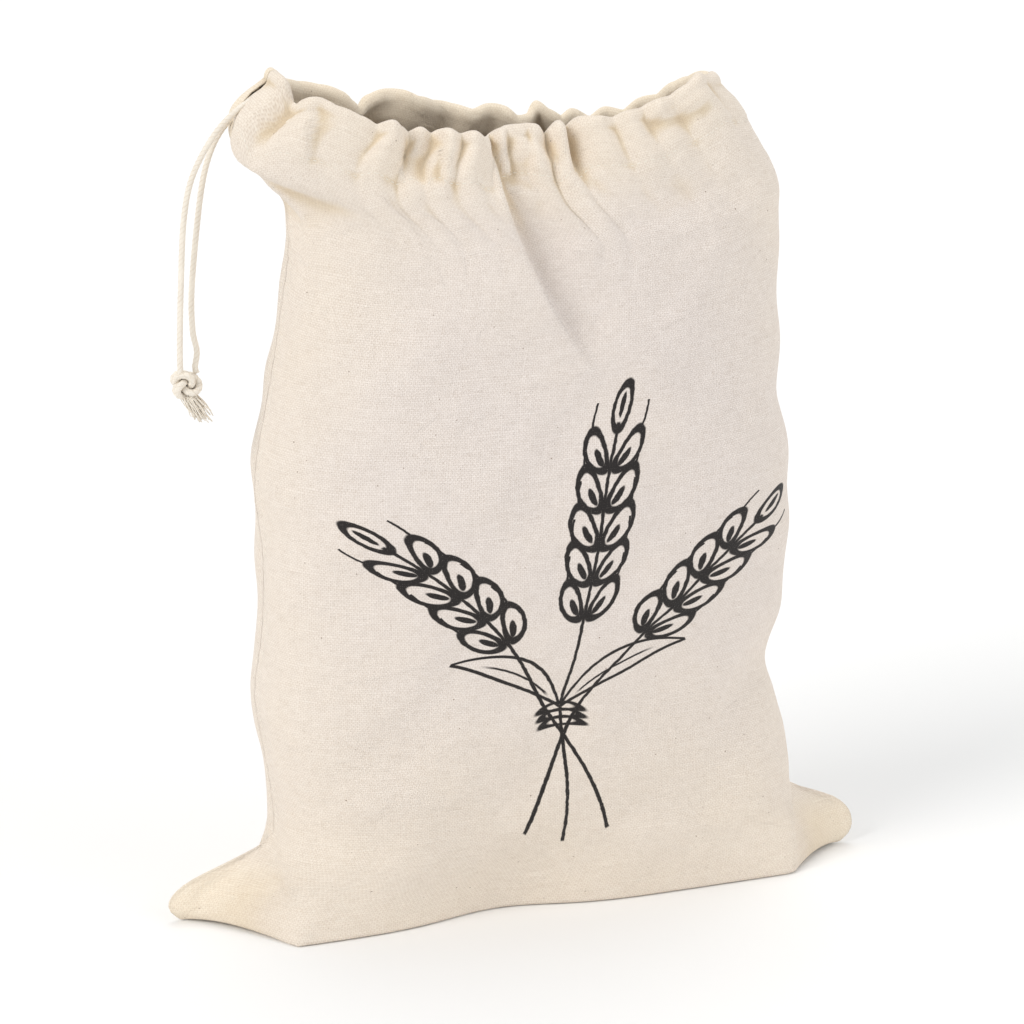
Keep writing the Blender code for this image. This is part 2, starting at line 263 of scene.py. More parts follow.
def cord_finish():
    """Soft unbleached cotton with fine fibres: pale on the plies, with painted shade darkening the grooves
    of the lay.
    """
    material, shader, uv = start_finish("drawcord_cotton", 0.88, sheen=0.25)
    around, along, _ = uv.split()
    lay = (around * PLIES - along * (PLIES / LAY_LENGTH)) * math.pi
    groove = (1 - abs(lay.sine())) ** 3
    fibre = uv.place(around * 40 - along * (13 / LAY_LENGTH), along * 500).noise(1.0, 3.0)
    mottle = uv.place(around, along * 90).noise(1.0, 2.0)
    # Painted shade: the colour darkens towards each groove between the plies, mixed with the fibres' own
    # tone.
    colour = (groove * 0.75 + fibre * 0.25).tint((0.87, 0.81, 0.72, 1), (0.70, 0.60, 0.47, 1))
    colour = mottle.ramp(0.35, 0.8).tint(colour, (0.90, 0.84, 0.74, 1))
    connect(colour, shader, "Base Color")
    connect(bump(fibre, 0.15 * MM, 0.8), shader, "Normal")
    return material


drawcord_cotton = cord_finish()
for name, node, route in (
    ("cord_end_outer", "cord_tail_outer", OUTER_TAIL),
    ("cord_end_inner", "cord_tail_inner", INNER_TAIL),
):
    # Each end runs on a little, into the knot.
    x, y, z = route[-1]
    path = smooth_route(route + ((x + 0.6, y * 0.5, z - 2.5),), ROUTE_STEP) * MM
    points, faces, uvs = laid_cord(path, CORD_RADIUS)
    tail = make_piece(name, points, faces, uvs, drawcord_cotton)
    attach(tail, "root")
    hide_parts(node)
    length = float(np.linalg.norm(np.diff(path, axis=0), axis=1).sum())

# ------------------------------------------------
# The knot. Both ends are thrown together into one overhand knot and drawn tight. Below it
# the plies have opened into a short brush of loose fibres.
# ------------------------------------------------
KNOT_MIDDLE = np.array((-141.5, 0, 233.0))
KNOT_SIZE = 1.75            # scale of the knot's loops
KNOT_SWELL = 1.18           # how much thicker the cord lies in it, pressed out of round
TUFT_ROOT = np.array((-141.0, 0, 229.0))
TUFT_TIP = np.array((-135.2, 0, 219.5))
TUFT_FIBRES = 300

knot_points, knot_faces, knot_uvs = [], [], []


def add_part(points, faces, uvs):
    """Join one length of cord or fibre to the knot's lists."""
    base = sum(len(p) for p in knot_points)
    knot_points.append(np.asarray(points))
    knot_uvs.append(np.asarray(uvs))
    knot_faces.extend(tuple(base + k for k in face) for face in faces)


# The two cords lie side by side, each along the closed line of an overhand knot.
for strand in range(2):
    t = np.linspace(0, 2 * math.pi, 150) + 0.55 * strand
    loop = np.stack([(2 + np.cos(3 * t)) * np.cos(2 * t),
                     1.15 * np.sin(3 * t) + (0.9 if strand else -0.9),
                     0.92 * (2 + np.cos(3 * t)) * np.sin(2 * t)], 1)
    add_part(*laid_cord((KNOT_MIDDLE + KNOT_SIZE * loop) * MM, KNOT_SWELL * CORD_RADIUS, 14))

tied_faces = len(knot_faces)
chance = random.Random(7)
for _ in range(TUFT_FIBRES):
    spread = np.array([chance.gauss(0, 1.2), chance.gauss(0, 1.1), chance.gauss(0, 0.5)])
    fan = np.array([chance.gauss(0, 1.2), chance.gauss(0, 1.5), chance.gauss(0, 1.0)])
    bend = np.array([chance.gauss(0, 0.8), chance.gauss(0, 0.8), chance.gauss(0, 0.5)])
    long = chance.uniform(0.55, 1.1)
    s = np.linspace(0, 1, 9)[:, None]
    line = TUFT_ROOT + spread + s * long * (TUFT_TIP - TUFT_ROOT + fan) + bend * np.sin(math.pi * s)
    add_part(*laid_cord(line * MM, chance.uniform(0.18, 0.34) * MM, 5))

knot = make_piece("cord_end_knot", np.vstack(knot_points), knot_faces, np.vstack(knot_uvs), drawcord_cotton)
frayed_cotton, frayed_shader, fibre_uv = start_finish("frayed_cotton", 0.95, sheen=0.3)
around, along, _ = fibre_uv.split()
fibre_tone = fibre_uv.place(around, along * 300).noise(1.0, 2.0)
connect(fibre_tone.tint((0.80, 0.72, 0.60, 1), (0.93, 0.88, 0.80, 1)), frayed_shader, "Base Color")
connect(bump(fibre_tone, 0.05 * MM, 0.5), frayed_shader, "Normal")
knot.data.materials.append(frayed_cotton)
knot.data.polygons.foreach_set("material_index", np.arange(len(knot_faces)) >= tied_faces)
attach(knot, "root")
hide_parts("cord_knot")

# ------------------------------------------------
# The front panel. One cut of unbleached plain-woven cloth, sewn inside out to the back
# along both sides and the bottom. Its top edge is turned in and stitched as the casing.
# ------------------------------------------------
SHEET = 0.7 * MM            # thickness of the cloth
SEAM_GAP = 0.42             # each panel's middle surface, from the line of the side seams
LEAST_HEIGHT = 0.02         # of the cloth, off the floor
RIM_HEIGHT = 335.0          # these heights are in millimetres, as the tables' are
RIM_ROUND = 4.0             # radius of the turned edge
LIFT_LEFT = 22.0            # how much higher the rim stands at each side seam
LIFT_RIGHT = 13.0
LIFT_START = 230.0          # where that begins
HEM_DEPTH = 19.0
HEM_INNER = 11.5            # below the rim, where the turned-in layer is still full
CORD_DROP = 8.0
CORD_ROOM = 2.3             # from the cord's centre to either side of its casing
BOTTOM_SEAM = 4.0           # how far the bottom seam bows back
SEAM_REACH = 141.0
SLIT_HEIGHT = 328.0         # the middle of the opening where the cord leaves
EAR_LIFT = 1.7
EAR_START = 112.0           # where the ears' lower edges leave the floor, from the middle
EAR_LENGTH = 38.0
STITCH_DEPTH = 18.5         # the casing's stitching, below the rim
SEAM_INSET = 4.0            # the side seams' stitching, in from the edge
STRIP_ROWS = (0, 0.35, 0.7, 0.9, 0.97)      # the strip under the bag, from its seam outwards
WALL_HEIGHTS = np.concatenate([[1.0], np.arange(2.2, 36, 2.2), np.arange(37, 224, 3.4),
                               np.arange(226, RIM_HEIGHT - RIM_ROUND, 1.65)])
PANEL_WIDTH = 300.0         # the cut cloth, without its seam allowances
COLUMNS = 250
PLACES = np.linspace(0, 1, COLUMNS + 1)     # shares of a row, from seam to seam

# Level sections of the standing bag. square: superellipse exponent.
SECTIONS = np.array((
    # height, left, right, front, back, square
    (0, 109, 117, 36, 40, 3.4),
    (38, 107, 120, 41, 41, 2.8),
    (46, 107.5, 119.5, 42, 42, 2.7),
    (60, 109, 117, 44, 45, 2.7),
    (78, 112, 112.5, 46, 48, 2.7),
    (95, 114.5, 108.5, 48, 50, 2.7),
    (125, 111, 114, 52, 52, 2.6),
    (155, 110, 116.5, 55, 54, 2.5),
    (190, 113, 115, 56, 55, 2.4),
    (225, 107, 110.5, 54, 52, 2.3),
    (257, 101, 111, 51, 48, 2.3),
    (284, 97, 111, 46, 44, 2.3),
    (292, 98.5, 109.5, 43, 42, 2.4),
    (299, 106, 106, 40.5, 39, 2.4),
    (306, 115, 102, 37.5, 35, 2.5),
    (314, 118, 97, 34.5, 32, 2.6),
    (324, 112.5, 89.5, 29.5, 28, 2.7),
    (330, 104, 83.5, 26.5, 24.5, 2.8),
    (335, 98, 79, 24, 22, 2.9),
), float)

# Where the standing bag's faces break at its four lower corners. Each crease leans back
# as it rises, until it meets the side seam.
CORNERS = np.array((
    # height, left x, its front y, its back y, right x, its front y, its back y
    (0, 109.5, 43.5, 36, 115.5, 28, 34),
    (8, 109.5, 38, 29, 116.5, 25.5, 28),
    (16, 109.5, 30, 20, 117.5, 21.5, 21),
    (24, 109, 19.5, 10, 118.7, 15, 13),
    (31, 108, 8, 3, 119.8, 7, 5),
    (38, 107, 0, 0, 120, 0, 0),
), float)

# How far the ears' ridges reach beyond the middle, and how hollow their sides are.
EARS = np.array((
    # height, left reach, right reach, hollow
    (0, 148, 146, 1.35),
    (5, 153, 151, 1.5),
    (12, 151, 152, 1.7),
    (18, 142, 149, 1.9),
    (22, 132, 144, 1.9),
    (26, 122, 135, 1.8),
    (30, 113, 125, 1.6),
    (33, 109, 121, 1.4),
    (38, 107, 120, 1.0),
), float)

# The gathered rim, from the left seam to the right one. out: how far the cloth stands
# proud of the cord.
FRONT_RIM = np.array((
    # x, height, out
    (-98, 360, 0.2), (-96.5, 358.5, 0.4), (-94.5, 349.5, -1.2), (-92.5, 348.5, -0.8),
    (-90, 351, 1.4), (-87, 352.5, 3.0), (-78, 349, 4.2), (-70, 345, 3.8),
    (-64, 341, 1.8), (-58, 343, 3.8), (-54, 339, 0.2), (-51, 336, -2.2), (-46, 338, -1.2),
    (-42, 335, -1.6), (-37, 338.5, 3.4), (-32, 335.5, -0.6), (-27, 337, 3.2),
    (-22, 333, 0.4), (-19, 332, -1.2), (-14, 335.5, 3.6), (-7, 336.5, 3.2), (0, 336, 1.6),
    (4, 331, -2.4), (9, 337, 2.8), (13, 332.5, -1.8), (18, 338, 2.0), (24, 338.5, 3.0),
    (30, 337, 0.4), (36, 340, 2.8), (42, 340, 0.2), (48, 343.5, 2.6), (54, 344, 0.6),
    (60, 348, 2.4), (66, 352, 3.0), (70, 350, 0.8), (74, 349, 1.6), (80, 347, 0.2),
), float)
BACK_RIM = np.array((
    (-98, 360, 0.2), (-95, 358, 0.6), (-90, 353, 2.0), (-82, 350, 3.2), (-74, 348, 2.6), (-66, 345, 1.0),
    (-62, 341, -1.4), (-59, 338, -2.4), (-54, 342, 1.4), (-48, 343.5, 3.2), (-41, 343, 2.2),
    (-34, 340, -0.6), (-27, 337, 2.4), (-19, 335, 2.8), (-12, 333, -0.8), (-5, 334.5, 2.6),
    (1, 333.5, 1.2), (5, 330, -2.4), (11, 329.5, -1.8), (15, 334, 2.6), (19, 331, -0.6),
    (24, 328, -1.6), (29, 330, 2.2), (36, 326.5, -1.6), (43, 329.5, 1.6), (50, 328.5, -1.6),
    (57, 333, 1.2), (63, 334.5, -0.8), (69, 340, 1.2), (74, 343, 0.4), (80, 347, 0.2),
), float)

# Folds in the front, each along a bow from its first point to its last. On one side of
# the bow the cloth stands out by `rise` and on the other it sinks by `drop`, each fading
# over its own width. edge: how sharp the step is. fade: share of each end that dies away.
FRONT_FOLDS = (
    # x, z of start, middle and end; rise, width, drop, width, edge, fade in, fade out
    ((-21, 344), (-23, 290), (22, 233), 4.6, 26, 7.6, 21, 0.9, 0.04, 0.40),
    ((-9, 334), (12, 316), (48, 290), 3.4, 12, 2.4, 12, 1.6, 0.10, 0.70),
    ((-56, 347), (-57, 333), (-58.5, 319), 2.2, 10, 3.8, 9, 0.8, 0.02, 0.30),
    ((-41, 343), (-41.5, 328), (-43.5, 316), -3.6, 8, -3.2, 9, 0.8, 0.02, 0.30),
    ((-61, 320.5), (-50, 317.5), (-39, 318), 1.8, 8, 1.6, 5, 0.9, 0.25, 0.25),
    ((-14, 338), (-14.5, 326), (-12, 313), 1.8, 5, 3.6, 6, 0.8, 0.02, 0.35),
    ((-3, 337), (-3.5, 326), (-6, 314), -2.2, 5, -1.6, 6, 0.8, 0.02, 0.35),
    ((11, 338), (13, 327), (13, 314), 2.0, 6, 3.4, 7, 0.8, 0.02, 0.45),
    ((-18, 316), (-11, 312), (-2, 312), 1.6, 7, 1.6, 5, 0.9, 0.25, 0.25),
    ((-88, 356), (-93, 338), (-97, 322), 2.4, 7, 2.0, 9, 1.4, 0.05, 0.50),
    ((-78, 350), (-72, 330), (-60, 300), 1.2, 12, -1.4, 12, 3.0, 0.10, 0.60),
    ((40, 338), (54, 332), (76, 344), -2.4, 9, -2.0, 9, 2.0, 0.25, 0.20),
    ((-126, 330), (-106, 318), (-72, 306), -4.2, 9, -3.4, 13, 1.8, 0.02, 0.60),
    ((36, 338), (46, 322), (60, 308), 1.8, 7, -1.8, 8, 2.0, 0.05, 0.60),
    ((64, 350), (70, 334), (76, 322), 1.4, 6, -1.4, 7, 2.0, 0.05, 0.60),
    ((22, 338), (26, 325), (34, 312), 1.4, 6, -1.4, 6, 2.0, 0.05, 0.60),
    ((50, 340), (60, 326), (80, 316), -1.4, 7, 1.4, 7, 2.0, 0.10, 0.60),
    ((37, 288), (58, 301), (86, 305), 0.75, 3.0, -0.75, 3.0, 0.9, 0.30, 0.30),
    ((40, 286), (62, 296), (102, 296), 0.80, 3.0, -0.80, 3.0, 0.9, 0.30, 0.20),
    ((2, 286), (34, 295), (62, 288), 0.70, 3.2, -0.70, 3.2, 0.9, 0.30, 0.30),
    ((45, 276), (72, 286), (104, 284), 0.60, 3.0, -0.60, 3.0, 0.9, 0.30, 0.20),
    ((97, 106), (88, 74), (72, 36), -2.2, 12, 2.2, 12, 3.0, 0.25, 0.35),
    ((-28, 250), (-10, 225), (22, 205), -1.2, 22, 1.2, 22, 4.0, 0.40, 0.40),
    ((-95, 250), (-60, 235), (-30, 240), 0.9, 20, -0.9, 20, 4.0, 0.40, 0.40),
    ((-100, 140), (-60, 120), (10, 118), -1.0, 26, 1.0, 26, 5.0, 0.30, 0.30),
    ((28, 226), (60, 214), (100, 220), -1.0, 14, 1.0, 14, 4.0, 0.30, 0.30),
)
# Soft shapes pressed in by hand. depth: along Y, positive towards the back.
FRONT_SHAPES = (
    # x, z, half width, half height, turn, depth
    (-18, 0, 32, 40, 0, 10.0),
    (70, 75, 16, 60, -38, 1.5),
)
BACK_FOLDS = (
    ((-59, 342), (-50, 322), (-32, 296), 3.0, 12, 3.0, 12, 2.0, 0.05, 0.60),
    ((8, 336), (10, 300), (-4, 262), -3.6, 18, -3.6, 16, 2.2, 0.05, 0.50),
    ((-27, 338), (-22, 318), (-26, 300), 1.6, 7, -1.6, 7, 2.0, 0.05, 0.60),
    ((36, 338), (46, 318), (64, 300), 1.8, 8, -1.8, 8, 2.0, 0.05, 0.60),
    ((60, 342), (72, 322), (92, 306), 1.8, 8, -1.8, 8, 2.0, 0.05, 0.60),
    ((-80, 348), (-88, 326), (-104, 306), 2.0, 9, -2.0, 9, 2.4, 0.05, 0.60),
    ((-90, 110), (-70, 76), (-80, 34), 2.0, 13, -2.0, 13, 3.0, 0.25, 0.35),
    ((20, 200), (50, 180), (96, 190), -1.1, 20, 1.1, 20, 4.0, 0.30, 0.30),
    ((-90, 236), (-50, 220), (0, 226), 1.0, 22, -1.0, 22, 4.0, 0.30, 0.30),
)
BACK_SHAPES = (
    (20, 0, 36, 40, 0, -8.0),
    (45, 250, 14, 60, 16, -3.0),
)
# Broad, low swells that keep the cloth from lying true: wave lengths across and up,
# phase, height.
SWELLS = (
    (84, 61, 0.4, 0.75), (53, 97, 2.1, 0.70), (37, 43, 4.0, 0.38), (121, 38, 5.2, 0.50),
    (29, 71, 1.3, 0.28), (22, 24, 3.3, 0.14),
)


def read_table(at, rows, column):
    """A table's column at `at`, on a smooth curve through its rows."""
    keys, values = rows[:, 0], rows[:, column]
    slopes = np.gradient(values, keys)
    at = np.clip(at, keys[0], keys[-1])
    k = np.clip(np.searchsorted(keys, at, side="right") - 1, 0, len(keys) - 2)
    span = keys[k + 1] - keys[k]
    t = (at - keys[k]) / span
    near = (2 * t**3 - 3 * t**2 + 1) * values[k] + (t**3 - 2 * t**2 + t) * span * slopes[k]
    far = (3 * t**2 - 2 * t**3) * values[k + 1] + (t**3 - t**2) * span * slopes[k + 1]
    return near + far


def read_gathers(at, rows, column):
    """As read_table, but the curve comes to a crease at each low point."""
    keys, values = rows[:, 0], rows[:, column]
    at = np.clip(at, keys[0], keys[-1])
    k = np.clip(np.searchsorted(keys, at, side="right") - 1, 0, len(keys) - 2)
    t = (at - keys[k]) / (keys[k + 1] - keys[k]) * math.pi / 2
    rise = values[k + 1] - values[k]
    creased = values[k] + rise * np.where(rise > 0, np.sin(t), 1 - np.cos(t))
    return 0.6 * creased + 0.4 * read_table(at, rows, column)


def smooth_step(t):
    """From 0 to 1 as t goes from 0 to 1, level at both ends."""
    t = np.clip(t, 0.0, 1.0)
    return t * t * (3 - 2 * t)


def level_line(height, front, count=1201):
    """A panel's level section from seam to seam, as fine x and y arrays."""
    side = -1 if front else 1
    left, right = read_table(height, SECTIONS, 1), read_table(height, SECTIONS, 2)
    corner = [read_table(height, CORNERS, k) for k in range(1, 7)]
    low = height < CORNERS[-1, 0]
    left_x, right_x = (corner[0], corner[3]) if low else (left, right)
    left_y, right_y = (corner[1 if front else 2], corner[4 if front else 5]) if low else (0.0, 0.0)
    depth = read_table(height, SECTIONS, 3 if front else 4) - (left_y + right_y) / 2
    angle = np.linspace(math.pi, 0, count)
    power = 2 / read_table(height, SECTIONS, 5)
    turn = np.cos(angle)
    x = np.where(turn < 0, left_x, right_x) * np.sign(turn) * np.abs(turn) ** power
    out = np.abs(np.sin(angle)) ** power
    skew = 0.22 * (1 - 0.75 * smooth_step(height / 110)) if front else 0.0
    chord = left_y + (right_y - left_y) * (x + left_x) / (left_x + right_x)
    y = side * (chord + depth * out * (1 - skew * np.clip(x / 112, -1.1, 1.1)))
    if low:
        hollow = read_table(height, EARS, 3)
        share = np.linspace(1, 0, 160)[:-1]
        left_run = left_x + (read_table(height, EARS, 1) - left_x) * share
        right_run = right_x + (read_table(height, EARS, 2) - right_x) * share
        fall = (1 - share) ** hollow
        # The cloth rolls over the seam near each ear's tip.
        roll = 0.045 * math.sin(math.pi * min(height / 26, 1))
        fall = fall + roll * np.exp(-((share - 0.86) / 0.09) ** 2)
        x = np.concatenate([-left_run, x, right_run[::-1]])
        y = np.concatenate([side * left_y * fall, y, side * right_y * fall[::-1]])
    return x, y


def even_steps(x, y, places):
    """Points at the given shares of a line's length, and its outward normals there."""
    run = np.concatenate([[0], np.cumsum(np.hypot(np.diff(x), np.diff(y)))])
    run /= run[-1]
    step = 0.012
    ahead, behind = np.clip(places + step, 0, 1), np.clip(places - step, 0, 1)
    tx = np.interp(ahead, run, x) - np.interp(behind, run, x)
    ty = np.interp(ahead, run, y) - np.interp(behind, run, y)
    size = np.hypot(tx, ty)
    facing = 1 if y[len(y) // 2] < 0 else -1
    return np.interp(places, run, x), np.interp(places, run, y), facing * ty / size, -facing * tx / size


def fold_depth(x, z, folds):
    """How far a panel's folds push the cloth out at each point."""
    total = np.zeros_like(x)
    bow = np.linspace(0, 1, 40)[:, None]
    for start, middle, end, rise, wide, drop, narrow, edge, fade_in, fade_out in folds:
        start, middle, end = (np.array(p, float) for p in (start, middle, end))
        line = (1 - bow) ** 2 * start + 2 * bow * (1 - bow) * middle + bow**2 * end
        best = np.full(x.shape, 1e9)
        signed = np.zeros_like(x)
        share = np.zeros_like(x)
        for k in range(len(line) - 1):
            step = line[k + 1] - line[k]
            size = np.hypot(*step)
            px, pz = x - line[k][0], z - line[k][1]
            t = np.clip((px * step[0] + pz * step[1]) / size**2, 0, 1)
            away = np.hypot(px - t * step[0], pz - t * step[1])
            closer = away < best
            best = np.where(closer, away, best)
            cross = (step[0] * pz - step[1] * px) / size
            signed = np.where(closer, np.sign(cross) * away, signed)
            share = np.where(closer, (k + t) / (len(line) - 1), share)
        here = 0.5 - 0.5 * np.tanh(signed / edge)
        shape = rise * here * np.exp(-(signed / wide) ** 2)
        shape -= drop * (1 - here) * np.exp(-(signed / narrow) ** 2)
        total += shape * smooth_step(share / fade_in) * smooth_step((1 - share) / fade_out)
    return total


def pressed_depth(x, z, shapes):
    """How far back the soft shapes press the cloth at each point."""
    total = np.zeros_like(x)
    for sx, sz, wide, tall, turn, amount in shapes:
        c, s = math.cos(math.radians(turn)), math.sin(math.radians(turn))
        across = ((x - sx) * c + (z - sz) * s) / wide
        along = (-(x - sx) * s + (z - sz) * c) / tall
        total += amount * np.exp(-across**2 - along**2)
    return total


def swell_depth(x, z, phase):
    """How far the broad swells push the cloth out at each point."""
    total = np.zeros_like(x)
    for across, up, offset, height in SWELLS:
        total += height * np.sin(2 * math.pi * x / across + offset + phase) * np.cos(
            2 * math.pi * z / up + 1.7 * offset + phase)
    return total


def rim_lift(places, height):
    """How much higher a row stands towards the side seams than in the middle."""
    across = 2 * places - 1
    rise = np.where(across < 0, LIFT_LEFT, LIFT_RIGHT) * np.abs(across) ** 2.5
    return rise * smooth_step((height - LIFT_START) / (RIM_HEIGHT - LIFT_START))


def rim_shape(places, front):
    """For each place across, how far the gathered rim stands out, and its added height."""
    x, _, _, _ = even_steps(*level_line(RIM_HEIGHT, front), places)
    rows = FRONT_RIM if front else BACK_RIM
    plain = RIM_HEIGHT + rim_lift(places, RIM_HEIGHT)
    return read_gathers(x, rows, 2), read_gathers(x, rows, 1) - plain


def ease_inwards(reach):
    """The inner side of a row of gathers, with room left for the cord and no sharp turns."""
    padded = np.pad(reach, 3, mode="edge")
    least = np.min([padded[k:k + len(reach)] for k in range(7)], axis=0)
    for _ in range(8):
        padded = np.pad(least, 1, mode="edge")
        least = (padded[:-2] + 2 * least + padded[2:]) / 4
    return least


def wall_row(height, front, places, inwards=None):
    """One level row of the wall: the section, the rim's lift and gathers, and the folds.

    inwards gives a row inside the casing, that far in from the outer cloth's hollows.
    """
    x, y, nx, ny = even_steps(*level_line(height, front), places)
    out, up = rim_shape(places, front)
    below = RIM_HEIGHT - height
    near = smooth_step(1 - below / 62)
    z = height + rim_lift(places, height) + up * smooth_step(1 - below / 80)
    reach = CORD_ROOM * smooth_step((height - 262) / 66)
    reach = reach + out * (0.22 * near + 0.78 * smooth_step(1 - (below - 10) / 15))
    folds = fold_depth(x, z, FRONT_FOLDS if front else BACK_FOLDS)
    folds = folds * (0.62 + 0.38 * smooth_step((below + 2) / 14))
    edges = smooth_step(places / 0.035) * smooth_step((1 - places) / 0.035)
    calm = smooth_step(height / 30)
    reach = reach + folds * edges + swell_depth(x, z, 0.0 if front else 2.6) * edges * calm
    reach = reach - 0.55 * np.exp(-((below - STITCH_DEPTH) / 1.2) ** 2)
    # A groove along each side seam's stitching, and small puckers beside it.
    for inset, phase in ((places, 0.0), (1 - places, 1.9)):
        inset = inset * PANEL_WIDTH * 0.94
        groove = 0.40 * np.exp(-((inset - SEAM_INSET) / 1.3) ** 2)
        pucker = 0.30 * np.sin(height * 0.9 + phase + 1.4 * math.sin(height * 0.23))
        pucker = pucker * np.exp(-(inset / 7) ** 2)
        reach = reach - (groove + pucker * smooth_step(inset / 1.5)) * calm
    y = y + pressed_depth(x, z, FRONT_SHAPES if front else BACK_SHAPES)
    if inwards is not None:
        reach = ease_inwards(reach) - inwards
    return np.stack([x + nx * reach, y + ny * reach, z], 1), np.stack([nx, ny, 0 * nx], 1)


def cord_slit(height):
    """The share of a row that the opening for the cord takes at the left seam."""
    return 0.009 * math.exp(-((height - SLIT_HEIGHT) / 3.2) ** 2)


def panel_grid(front):
    """Rows of points on a panel's middle surface, from the bottom seam to the hem's edge."""
    places = PLACES
    side = -1 if front else 1
    x, y, _, _ = even_steps(*level_line(0, front), places)
    y = y + pressed_depth(x, 0 * x, FRONT_SHAPES if front else BACK_SHAPES)
    across = 2 * places - 1
    seam_x, seam_y = SEAM_REACH * across, BOTTOM_SEAM * (1 - across**2) + side * 0.2
    rows = []
    for share in STRIP_ROWS:
        rows.append(np.stack([seam_x + share * (x - seam_x), seam_y + share * (y - seam_y),
                              0 * x + 0.45], 1))
    for height in WALL_HEIGHTS:
        slit = cord_slit(height)
        row, _ = wall_row(height, front, slit + (1 - slit) * places)
        rows.append(row)
    # The turned edge, and the hem down to its stitching.
    crown, _ = wall_row(RIM_HEIGHT - RIM_ROUND, front, places)
    inner, _ = wall_row(RIM_HEIGHT - RIM_ROUND, front, places, inwards=2 * CORD_ROOM)
    for turn in np.linspace(0, 180, 10):
        share = (1 - math.cos(math.radians(turn))) / 2
        lift = np.array([0, 0, RIM_ROUND * math.sin(math.radians(turn))])
        rows.append(crown + share * (inner - crown) + lift)
    full = RIM_HEIGHT - HEM_INNER
    slit = cord_slit(full)
    deep, _ = wall_row(full, front, slit + (1 - slit) * places, inwards=2 * CORD_ROOM)
    low, normal = wall_row(RIM_HEIGHT - HEM_DEPTH, front, places)
    foot = low - normal * 1.3
    for share in np.linspace(0.25, 1, 4):
        rows.append(inner + share * (deep - inner))
    for share in np.linspace(0.2, 1, 6):
        rows.append(deep + share * (foot - deep))
    rows = np.array(rows)
    # The ears' lower edges stand a little off the floor between their two ends.
    reach = np.clip((np.abs(rows[:, :, 0]) - EAR_START) / EAR_LENGTH, 0, 1)
    rows[:, :, 2] += EAR_LIFT * np.sin(math.pi * reach) * np.clip(1 - rows[:, :, 2] / 16, 0, 1)
    return rows


def surface_normals(grid):
    """A unit normal at each point of a grid."""
    up, across = np.gradient(grid, axis=0), np.gradient(grid, axis=1)
    normal = np.cross(across, up)
    return normal / np.maximum(np.linalg.norm(normal, axis=2, keepdims=True), 1e-9)


def sheet_piece(name, front, finish):
    """A closed sheet of cloth about a panel's grid, with a UV map in cloth millimetres."""
    grid = panel_grid(front)
    side = -1 if front else 1
    wall = grid[len(STRIP_ROWS):, :, 1]
    wall[:] = side * np.maximum(side * wall, SEAM_GAP)
    rows, columns = grid.shape[:2]
    across = (np.linspace(0, 1, columns) - 0.5) * PANEL_WIDTH
    steps = np.linalg.norm(np.diff(grid, axis=0), axis=2)
    up = np.concatenate([[0], np.cumsum(np.median(steps, axis=1))])
    uv = np.stack(np.broadcast_arrays(across[None, :], up[:, None]), 2)
    # The painted glow and painted shade in the cloth's colour need to know how deep each point lies in a
    # fold near the rim.
    smooth = grid
    for _ in range(10):
        smooth = np.pad(smooth, ((1, 1), (1, 1), (0, 0)), mode="edge")
        smooth = (smooth[:-2] + 2 * smooth[1:-1] + smooth[2:]) / 4
        smooth = (smooth[:, :-2] + 2 * smooth[:, 1:-1] + smooth[:, 2:]) / 4
    depth = np.sum((smooth - grid) * surface_normals(grid), axis=2) * (1 if front else -1)
    hollow = np.clip((depth - 0.10) / 0.8, 0, 1) * smooth_step((grid[:, :, 2] - 285) / 40)
    half = surface_normals(grid) * SHEET / MM / 2 * (1 if front else -1)
    outer, inner = grid + half, grid - half
    if not front:
        outer, inner = inner, outer
    for layer in (outer, inner):
        layer[:, :, 2] = np.maximum(layer[:, :, 2], LEAST_HEIGHT)
    points = np.concatenate([outer.reshape(-1, 3), inner.reshape(-1, 3)]) * MM
    uvs = np.concatenate([uv.reshape(-1, 2)] * 2)
    index = np.arange(rows * columns).reshape(rows, columns)
    a, b, c, d = index[:-1, :-1], index[:-1, 1:], index[1:, 1:], index[1:, :-1]
    quads = np.stack([a, b, c, d], 2).reshape(-1, 4)
    other = quads[:, ::-1] + rows * columns
    border = np.concatenate([index[0], index[1:, -1], index[-1, -2::-1], index[-2:0:-1, 0]])
    after = np.roll(border, -1)
    rim = np.stack([after, border, border + rows * columns, after + rows * columns], 1)
    faces = np.concatenate([quads, other, rim])
    if not front:
        faces = faces[:, ::-1]
    piece = make_piece(name, points, [tuple(f) for f in faces.tolist()], uvs, finish)
    tone = piece.data.attributes.new("hollow", "FLOAT", "POINT")
    tone.data.foreach_set("value", np.tile(hollow.ravel(), 2).astype(np.float32))
    return piece, (outer if front else inner)


PRINT_MIDDLE = (8.0, 166.0)     # the printed motif's middle, in cloth millimetres
TIE_DROP = 34                   # the tie, below the middle
EAR_FOOT = 40.0                 # where each ear starts, up its stalk
GRAIN_PITCH = 16.0
LINE_WIDTH = 0.90


